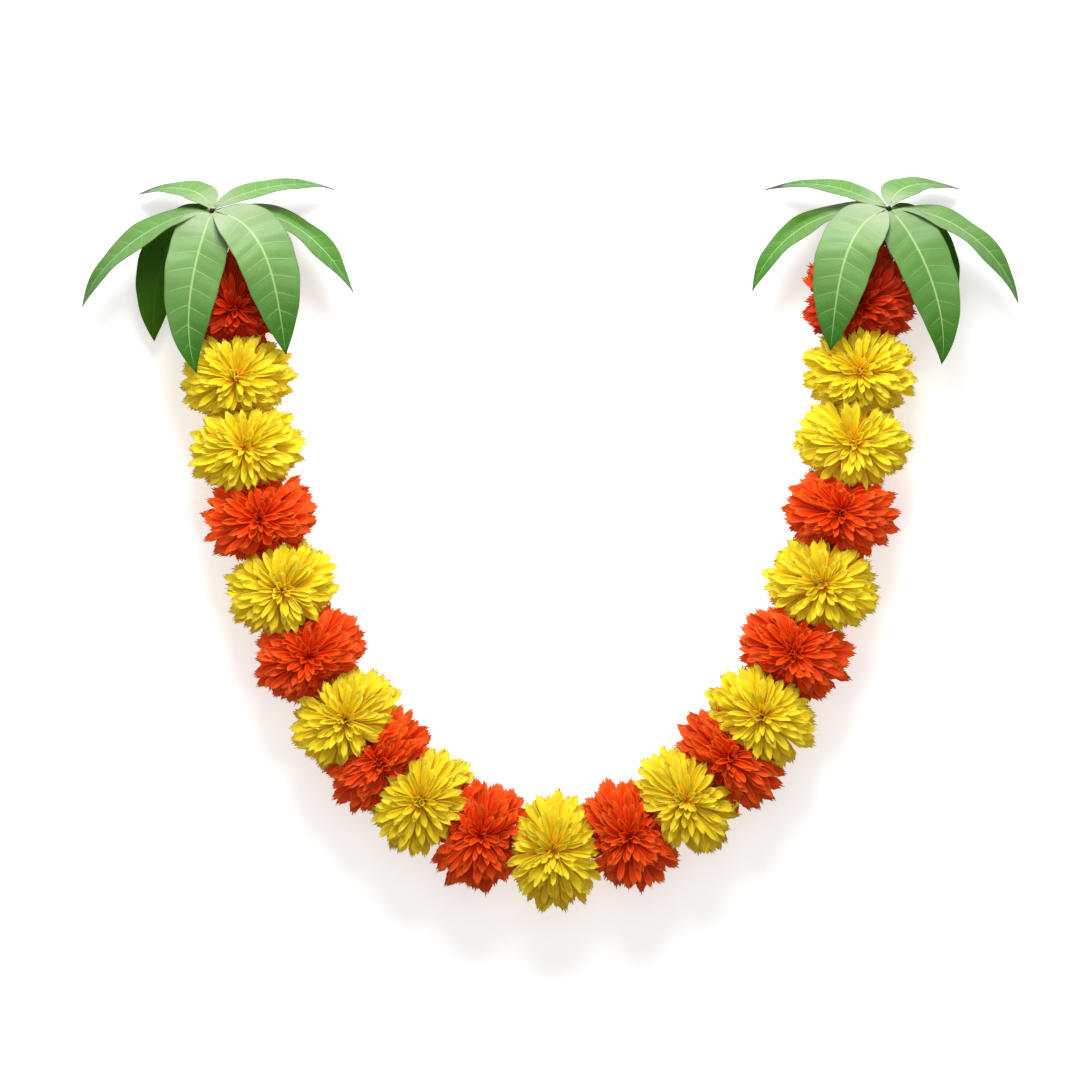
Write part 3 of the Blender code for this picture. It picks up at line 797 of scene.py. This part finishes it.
# %% Leaf grid
VEINS = 10.5
VEIN_SWEEP = 0.055
SIDE_SHIFT = 0.12
QUILT = 0.42
LEAF_S = np.linspace(0, 1, 61) ** 0.95
half_columns = np.array([0.045, 0.1, 0.2, 0.33, 0.48, 0.64, 0.8, 0.93, 1])
LEAF_V = np.concatenate([-half_columns[::-1], [0], half_columns])
MIDRIB = len(half_columns)
LEAF_FACES, LEAF_RIM = blade_faces(len(LEAF_S), len(LEAF_V))
# A leaf of a smaller half width than this lies behind the whorl and waves less.
SMALL_HALF = 14
EDGE_ON = 67


def vein_place(s, v, side):
    """Counts the side veins along the blade: a whole number lies on a vein, a little shifted on one side."""
    return (s - VEIN_SWEEP * np.abs(v) ** 1.2) * VEINS + SIDE_SHIFT * side


def leaf_outline(half, facing, base_share):
    """Half width at each row, as a share. The small leaves seen edge on keep a drawn-out tip."""
    fullness = np.clip((base_share - 0.42) / 0.2, 0, 1)
    share = eased(LEAF_S, STATIONS, THIN_BASE + (WIDE_BASE - THIN_BASE) * fullness)
    drawn = (0.08 + 0.8 * (1 - LEAF_S)) * np.clip((0.998 - LEAF_S) / 0.015, 0, 1) * (LEAF_S > 0.88)
    return np.maximum(share, drawn if facing[1] > EDGE_ON and half < SMALL_HALF else 0)


def leaf_grid(p0, p1, p2, p3, half, facing, base_share):
    """Points of the blade's face, rows along the midrib and columns across, and where each row looks."""
    s, v = LEAF_S[:, None], LEAF_V[None, :]
    line, after, before = (cubic_through(p0, p1, p2, p3, LEAF_S + step) for step in (0, 0.01, -0.01))
    ahead = unit_rows(after - before)
    angle = np.radians(facing[0] + (facing[1] - facing[0]) * LEAF_S)
    towards = np.stack([0 * angle, np.sin(angle), np.cos(angle)], 1)
    side = unit_rows(np.cross(ahead, towards))
    face = np.cross(side, ahead)
    face = face * np.sign((face * towards).sum(axis=1))[:, None]
    share = leaf_outline(half, facing, base_share)[:, None]
    share = share * (1 + 0.012 * np.sin(38 * s + 2 * np.sign(v)))
    calm = 0.4 if half < SMALL_HALF else 1
    lift = 0.1 * half * share * np.abs(v) ** 1.3 + calm * eased(LEAF_S, STATIONS, WAVES)[:, None] * v
    body = np.clip(np.sin(math.pi * np.clip(np.abs(v), 0, 1)) * 1.3, 0, 1) * np.clip(share * 1.4, 0, 1)
    quilt = QUILT * np.sin(math.pi * vein_place(s, v, np.where(v > 0, 1, 0))) ** 2 * body
    grid = line[:, None, :] + side[:, None, :] * (half * share * v)[..., None]
    return grid + face[:, None, :] * (lift + quilt)[..., None], face


print("quads in a leaf blade:", len(LEAF_FACES))

# %% [markdown]
# ### Leaf veins
#
# Side veins leave the midrib almost square, bend towards the tip and fade before the edge. As tubes they
# would cost thousands of faces a leaf. Instead a node group turns how far along and across the blade a point
# lies into masks, which stay sharp at any size.

# %% Leaf veins group
LEAF_NUMBERS = ("Along", "Across", "Side")
outputs = dict.fromkeys(("Midrib", "Vein", "Edge"), "Float")
leaf_veins, g, given, end = new_group("leaf_veins", dict.fromkeys(LEAF_NUMBERS, "Float"), outputs)
wide = g.math("ABSOLUTE", given["Across"])
sweep = g.times(g.math("POWER", wide, 1.2), VEIN_SWEEP)
count = g.times(g.minus(given["Along"], sweep), VEINS)
count = g.plus(count, g.times(given["Side"], SIDE_SHIFT))
near = g.math("ABSOLUTE", g.minus(g.math("FRACT", g.plus(count, 0.5)), 0.5))
# A vein is a band round each whole number, thinner further out, and faded at both ends and the edge.
vein_width = g.minus(0.062, g.times(wide, 0.042))
vein = g.minus(1, g.ramp(near, g.times(vein_width, 0.35), vein_width))
vein = g.times(vein, g.minus(1, g.ramp(wide, 0.72, 0.93)))
vein = g.times(vein, g.ramp(given["Along"], 0.03, 0.12))
vein = g.times(vein, g.minus(1, g.ramp(given["Along"], 0.8, 0.93)))
rib_width = g.minus(0.062, g.times(given["Along"], 0.018))
midrib = g.minus(1, g.ramp(wide, g.times(rib_width, 0.45), rib_width))
g.fill(end, {"Midrib": midrib, "Vein": vein, "Edge": g.ramp(wide, 0.94, 1)})
print("leaf vein nodes:", len(leaf_veins.nodes))

# %% [markdown]
# ### Leaf skin
#
# The blade is greyer near the stalk and deepens to the tip, partly its own colour and partly painted light: a
# sheen near the stalk, where the blade arches up, and shade towards the hanging tip. It is brown at the very end.
# Midrib and veins are paler, and the back is duller. Painted shade darkens some leaves, whole or in part. Each
# of these is one more colour mixed over the last, as in a painting.

# %% Leaf material
thin = {"Subsurface_Weight": 0.08, "Subsurface_Scale": 0.001}
leaf_skin, g, shader = new_material("leaf_skin", Roughness=0.42, **thin)
veins = g.group(leaf_veins, LEAF_NUMBERS).outputs
along_leaf = g.attribute("along")
grain = g.noise(900, 2)
# Grey-green at the stalk to deep green at the tip: partly the leaf's own colour, partly painted sheen and shade.
skin = g.paint(rgb(170, 183, 150), [
    (g.ramp(along_leaf, 0, 0.42), 1, rgb(107, 152, 76)),
    (g.ramp(along_leaf, 0.46, 0.96), 1, rgb(46, 112, 0)),
    (g.ramp(g.noise(42, 3), 0.35, 0.7), 0.22, rgb(78, 130, 54)),
    (g.ramp(grain, 0.4, 0.7), 0.1, rgb(150, 190, 110)),
    (veins["Vein"], 0.34, rgb(170, 204, 128)),
    # Painted shade over a whole leaf, by its own amount.
    (g.attribute("deep"), 0.7, rgb(58, 124, 18)),
    (veins["Midrib"], 0.78, rgb(172, 204, 132)),
    (veins["Edge"], 0.5, rgb(84, 92, 34)),
    (g.attribute("back"), 0.9, g.mix(veins["Midrib"], rgb(52, 86, 18), rgb(120, 140, 60))),
    # Painted shade on the leaf under the others and on the down-turned half of the side leaves; stalks darker
    # too.
    (g.attribute("shade_and_stalk"), 0.9, rgb(54, 102, 0)),
    (g.attribute("brown"), 1, rgb(46, 30, 22)),
])
height = g.plus(g.plus(g.times(veins["Vein"], 0.6), veins["Midrib"]), g.times(grain, 0.25))
dull = g.plus(g.times(g.attribute("shade_and_stalk"), 0.26), g.times(g.attribute("matt"), 0.22))
shine = g.math("MAXIMUM", g.minus(0.34, dull), 0.06)
g.fill(shader, {"Base Color": skin, "Normal": g.bump(height, 0.4, 0.0003), "Specular IOR Level": shine})
print("leaf skin nodes:", len(leaf_skin.node_tree.nodes))

# %% [markdown]
# ### Stalks
#
# Each stalk starts in the bundle at its own place round the thread, in the order in which the leaves spread,
# and runs on into its blade. A curve with a round bevel would make such a tube, but blade and stalk are one
# piece, so a small function gives the tube as points and quads.

# %% Tube helpers


def tube_grid(route, radius, sides):
    """Points and quads of a round tube along a route, drawn in to a tiny hole at both ends."""
    radii = np.ones(len(route)) * radius
    radii[[0, -1]] = 0.02
    ahead = unit_rows(np.gradient(route, axis=0))
    normal = unit(np.cross(ahead[0], [0.31, 0.52, 0.79]))
    angle = np.linspace(0, 2 * math.pi, sides, endpoint=False)[:, None]
    rings = []
    for i in range(len(route)):
        normal = unit(normal - ahead[i] * normal.dot(ahead[i]))
        other = np.cross(ahead[i], normal)
        rings.append(route[i] + radii[i] * (np.cos(angle) * normal + np.sin(angle) * other))
    return np.concatenate(rings), wrapped_quads(len(route), sides)


def even_points(line, count):
    """Evenly spaced points on a line of straight pieces, and how far along each lies."""
    length = np.concatenate([[0], np.cumsum(np.linalg.norm(np.diff(line, axis=0), axis=1))])
    even = np.linspace(0, length[-1], count)
    return np.stack([np.interp(even, length, line[:, k]) for k in range(3)], 1), even


def smooth_route(corners, count):
    """A rounded route through corner points: three rounds of corner cutting, then even spacing."""
    line = np.asarray(corners, float)
    for _ in range(3):
        cut = [line[0]]
        for a, b in zip(line[:-1], line[1:]):
            cut += [a * 0.75 + b * 0.25, a * 0.25 + b * 0.75]
        line = np.array(cut + [line[-1]])
    return even_points(line, count)[0]


STALK_POINTS = 26
STALK_SIDES = 10
print("points in a stalk:", STALK_POINTS * STALK_SIDES)

# %% [markdown]
# ### Colours on the blade
#
# The leaf under the others is painted dark all over, as shade, and the side leaves get painted shade on the
# half that turns down, near the hub. Tips are brown, earliest on the small back leaves, and so are the stalks,
# up to near the blade.

# %% Leaf values
# Where brown starts along a small back leaf and along the others, and over what length.
BROWN_FROM_BACK = 0.865
BROWN_FROM = 0.965
BROWN_OVER = 0.035
# Half shaded side leaves: how far out the shade starts, where along the blade it ends, and how fast it fades.
HALF_SHADED = {"side_inner": (0.28, 0.72, 0.25), "side_outer": (0.5, 0.26, 0.1)}
MIDWAY = 20


def leaf_values(key, grid, deep):
    """The numbers that the leaf material reads, for both faces of the blade and then for the stalk."""
    s = np.tile(np.repeat(LEAF_S, len(LEAF_V)), 2)
    v = np.tile(LEAF_V, 2 * len(LEAF_S))
    no_stalk = np.zeros(STALK_POINTS * STALK_SIDES)
    green_end = np.repeat(rising(np.linspace(0, 1, STALK_POINTS), 0.84, 0.06), STALK_SIDES)
    shade = np.full(len(s), 1 if key == "under" else 0)
    if key in HALF_SHADED:
        out_from, along_to, fade = HALF_SHADED[key]
        down = np.sign(grid[MIDWAY, 0, 2] - grid[MIDWAY, MIDRIB, 2])
        shade = rising(down * v, out_from, 0.2) * rising(-s, -along_to, fade)
    tip_brown = 0.96 * rising(s, BROWN_FROM_BACK if key.startswith("back") else BROWN_FROM, BROWN_OVER)
    parts = {
        "along": (s, no_stalk),
        "across": (v, no_stalk),
        "side": (v > 0, no_stalk),
        "back": (np.arange(len(s)) >= len(s) // 2, no_stalk + 0.35),
        "brown": (tip_brown, 0.75 - 0.6 * green_end),
        # Painted shade on the blade; the stalks are darker, most at the hub.
        "shade_and_stalk": (shade, 1 - 0.7 * green_end),
    }
    values = {name: np.concatenate(pair) for name, pair in parts.items()}
    values["matt"] = np.full(len(s) + len(no_stalk), 0 if key.startswith("front") else 1)
    values["deep"] = np.full(len(s) + len(no_stalk), deep)
    return values


print("half shaded:", ", ".join(HALF_SHADED))

# %% [markdown]
# ### Build the leaves
#
# The blade gets its thickness here, most along the midrib, which stands out further at the back than in
# front. Its normals are turned to the side that the leaf shows, so that front and back aren't mixed up.

# %% Build the leaves


def build_leaf(label, key, slot, axis):
    """One leaf from its place in the bundle, given as an offset from the hub, to its tip."""
    hub, drop, shape = HUBS[label], DROPS[label], LEAVES[label][key]
    p1, p2, p3 = (hub + np.array(p) for p in shape[:3])
    p0 = hub + slot + np.array([0, 0, 1.5])
    grid, face = leaf_grid(p0, p1, p2, p3, *shape[3:6])
    normal, faces = face_of(grid), LEAF_FACES[:, ::-1]
    if normal[MIDWAY, MIDRIB] @ face[MIDWAY] < 0:
        normal, faces = -normal, LEAF_FACES
    thick = 0.16 + 0.16 * (1 - np.abs(LEAF_V))[None, :, None]
    rib = np.exp(-(LEAF_V / 0.06) ** 2)[None, :, None] * (1 - LEAF_S[:, None, None]) ** 0.7
    upper = grid + normal * (thick + 0.12 * rib)
    lower = grid - normal * (thick + 0.75 * rib)
    inside = [cubic_through(p0, p1, p2, p3, s) for s in (0.04, 0.1)]
    corners = [hub + drop + slot, hub + slot + axis * -5, hub + slot + axis * 0.8, *inside]
    radii = np.linspace(0.8, 0.62, STALK_POINTS)
    blade = (np.concatenate([upper, lower]).reshape(-1, 3), faces)
    points, quads = joined([blade, tube_grid(smooth_route(corners, STALK_POINTS), radii, STALK_SIDES)])
    node = "leaf_" + label + "_" + key
    make_mesh(
        node + "_blade", points, quads, leaf_values(key, grid, shape[6]),
        leaf_skin, "leaf_green", node, sharp=np.arange(LEAF_RIM, len(LEAF_FACES)),
    )


def build_whorl(label):
    """The leaves of one end. Gives the bundle's own directions: up along it and two across."""
    axis = -unit(DROPS[label])
    east = unit(np.cross(axis, [1, 0, 0]))
    north = np.cross(axis, east)
    order = []
    for key, shape in LEAVES[label].items():
        order.append((math.atan2(np.dot(shape[0], north), np.dot(shape[0], east)), key))
    order.sort()
    count = len(order)
    turn = sum(angle - 2 * math.pi * k / count for k, (angle, _) in enumerate(order)) / count
    for k, (_, key) in enumerate(order):
        spoke = turn + 2 * math.pi * k / count
        build_leaf(label, key, (east * math.cos(spoke) + north * math.sin(spoke)) * BUNDLE_R, axis)
    return axis, east, north


whorls = {label: build_whorl(label) for label in ("left", "right")}
print("whorls:", ", ".join(whorls))

# %% [markdown]
# ## The thread
#
# The thread is two yarns twisted round each other. It is straight in each cup and bends between them, as a
# taut thread does, goes up the middle of the stalks, darkened there by painted shade, and ends in a small knot
# at the hub, painted dark in the same way. A twist painted on one tube would have a smooth outline, so two
# tubes are wound round one line.

# %% Thread
BORE_ENDS = (-8.5, 8.5)
BORE_Z = 8
YARN_R = 0.5
YARN_OFFSET = 0.42
TWIST_LENGTH = 5.2
YARN_POINTS = 1000
YARN_SIDES = 6
KNOT_HALF = [1.5, 1.3, 1.4]
KNOT_PLACE = [0, 0.4, 1.6]
THREAD_SHADE_FROM = 75
THREAD_SHADE_OVER = 20

cotton = soft_material("thread_cotton", rgb(206, 196, 168), rgb(232, 224, 200), 1400, 0.85, 0.0002)
g = Graph(cotton.node_tree)
base_colour = cotton.node_tree.nodes["Principled BSDF"].inputs["Base Color"]
# Painted shade: the thread's ends, where they run among the stalks, and the knots are mixed towards dark brown.
g.put(base_colour, g.mix(g.attribute("thread_end_shade"), base_colour.links[0].from_socket, rgb(50, 30, 16)))

route = [place + along * end + [0, 0, BORE_Z] for place, along, _ in spots for end in BORE_ENDS]
ends = []
for label, (place, along, _), way in (("left", spots[0], -1), ("right", spots[-1], 1)):
    hub, drop = HUBS[label], DROPS[label]
    low = place + way * along * 26 + np.array([(hub[0] - place[0]) * 0.45, 0, BORE_Z])
    ends.append([hub - unit(drop) * 0.5, hub + drop, hub + drop * 1.12, low])
line, even = even_points(np.array(ends[0] + route + ends[1][::-1]), YARN_POINTS)
ahead = unit_rows(np.gradient(line, axis=0))
flat = unit_rows(np.cross(ahead, [0, 0, 1]))
rise = np.cross(flat, ahead)
twist = (2 * math.pi * even / TWIST_LENGTH)[:, None]
pieces = []
for start in (0, math.pi):
    centre = line + YARN_OFFSET * (np.cos(twist + start) * flat + np.sin(twist + start) * rise)
    pieces.append(tube_grid(centre, YARN_R, YARN_SIDES))
ball, ball_quads = sphere_grid(16, 24)
lumps = 1 + 0.09 * np.sin(5 * np.arctan2(ball[:, 1], ball[:, 0]) + 6 * ball[:, 2])
for hub in HUBS.values():
    pieces.append((hub + KNOT_PLACE + ball * KNOT_HALF * lumps[:, None], ball_quads))
to_end = np.tile(np.repeat(np.minimum(even, even[-1] - even), YARN_SIDES), 2)
# Painted shade over the last stretch at each end, and on the knots.
thread_end_shade = np.concatenate([rising(-to_end, -THREAD_SHADE_FROM, THREAD_SHADE_OVER), np.ones(2 * len(ball))])
make_mesh("thread_plies", *joined(pieces), {"thread_end_shade": thread_end_shade}, cotton, "thread_cotton", "thread")
print("thread length:", round(even[-1]), "mm")

# %% [markdown]
# ## The ties
#
# A few turns of dark cotton hold the stalks and the thread's end together. A screw modifier winds a perfect
# coil. A formula can let the radius waver a little, as a hand does.

# %% Ties
TIE_TURNS = 4.5
TIE_TURN_POINTS = 26
TIE_R = 3.82
TIE_YARN_R = 0.36
TIE_SIDES = 8

tie_cotton = soft_material("tie_cotton", rgb(72, 30, 18), rgb(112, 52, 30), 1400, 0.85, 0.0002)
for label, (axis, east, north) in whorls.items():
    t = np.linspace(0, 1, int(TIE_TURNS * TIE_TURN_POINTS))[:, None]
    angle = 2 * math.pi * TIE_TURNS * t
    radius = TIE_R + 0.06 * np.sin(23 * t)
    foot = HUBS[label] + DROPS[label] * 0.12
    coil = foot - axis * (0.35 + 1.95 * t) + radius * (np.cos(angle) * east + np.sin(angle) * north)
    points, quads = tube_grid(coil, TIE_YARN_R, TIE_SIDES)
    make_mesh("tie_" + label + "_turns", points, quads, {}, tie_cotton, "tie_cotton", "tie_" + label)
print("turns in a tie:", TIE_TURNS)

# %% [markdown]
# ## Floor and light
#
# The garland lies on a plain white surface that glows a little, so that it stays white in the shade. A sun
# lamp would throw hard shadows. The main light is a wide disc instead, from beyond the leaf whorls, and a
# larger disc above and the pale world fill the shade.

# %% Floor and light
FLOOR_HALF = 6
WHITE = (1, 1, 1, 1)

glow = {"Emission_Color": WHITE, "Emission_Strength": 0.5}
dull_white = {"Base_Color": (0.88, 0.88, 0.88, 1), "Roughness": 0.9, "Specular_IOR_Level": 0.1}
floor_white = new_material("floor_white", **dull_white, **glow)[0]
corners = [(x * FLOOR_HALF, y * FLOOR_HALF, 0) for x, y in ((-1, -1), (1, -1), (1, 1), (-1, 1))]
floor_mesh = bpy.data.meshes.new("floor")
floor_mesh.from_pydata(corners, [], [(0, 1, 2, 3)])
floor_mesh.materials.append(floor_white)
floor = add_object("floor", floor_mesh)
floor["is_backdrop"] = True

world = bpy.data.worlds.new("studio")
world.use_nodes = True
Graph(world.node_tree).fill(world.node_tree.nodes["Background"], {"Color": WHITE, "Strength": 0.33})
bpy.context.scene.world = world


def area_light(name, place, target, size, power):
    """A round soft light that looks from a place at a target, in metres and watts."""
    data = bpy.data.lights.new(name, "AREA")
    data.shape = "DISK"
    data.size = size
    data.energy = power
    lamp = add_object(name, data)
    lamp.location = place
    lamp.rotation_mode = "QUATERNION"
    lamp.rotation_quaternion = (Vector(target) - Vector(place)).to_track_quat("-Z", "Y")
    print(name, "light:", power, "W")


area_light("key", (-0.02, 0.94, 0.86), (0, 0, 0.03), 0.6, 15.8)
area_light("top", (0, 0.3, 2.9), (0, 0, 0), 2.2, 14)

# %% [markdown]
# ## Camera
#
# The camera looks straight down from far off with a long lens, so that all blooms are seen from the same
# side. A short lens close by would lean the outer ones. Its height follows from the lens and the picture's
# width at the blooms' height.

# %% Camera
LENS_MM = 400
SENSOR_MM = 36
PICTURE_WIDTH = 0.675
PICTURE_HEIGHT_Z = 0.036

camera_data = bpy.data.cameras.new("camera")
camera_data.lens = LENS_MM
camera_data.sensor_width = SENSOR_MM
camera_data.clip_end = 20
camera = add_object("camera", camera_data)
camera.location = (-0.0062, 0.0002, PICTURE_HEIGHT_Z + PICTURE_WIDTH * LENS_MM / SENSOR_MM)
bpy.context.scene.camera = camera
bpy.context.scene.view_settings.view_transform = "Standard"
print("camera height:", round(camera.location.z, 3), "m")

# %% [markdown]
# ## Sizes before and after
#
# The garland is meant to keep the size of the solid model, so both boxes are printed.

# %% Finish
bounds_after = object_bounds()
sizes = {"before": [list(corner) for corner in bounds_before], "after": [list(corner) for corner in bounds_after]}
for when, box in sizes.items():
    print("box", when, [[round(v, 4) for v in corner] for corner in box])
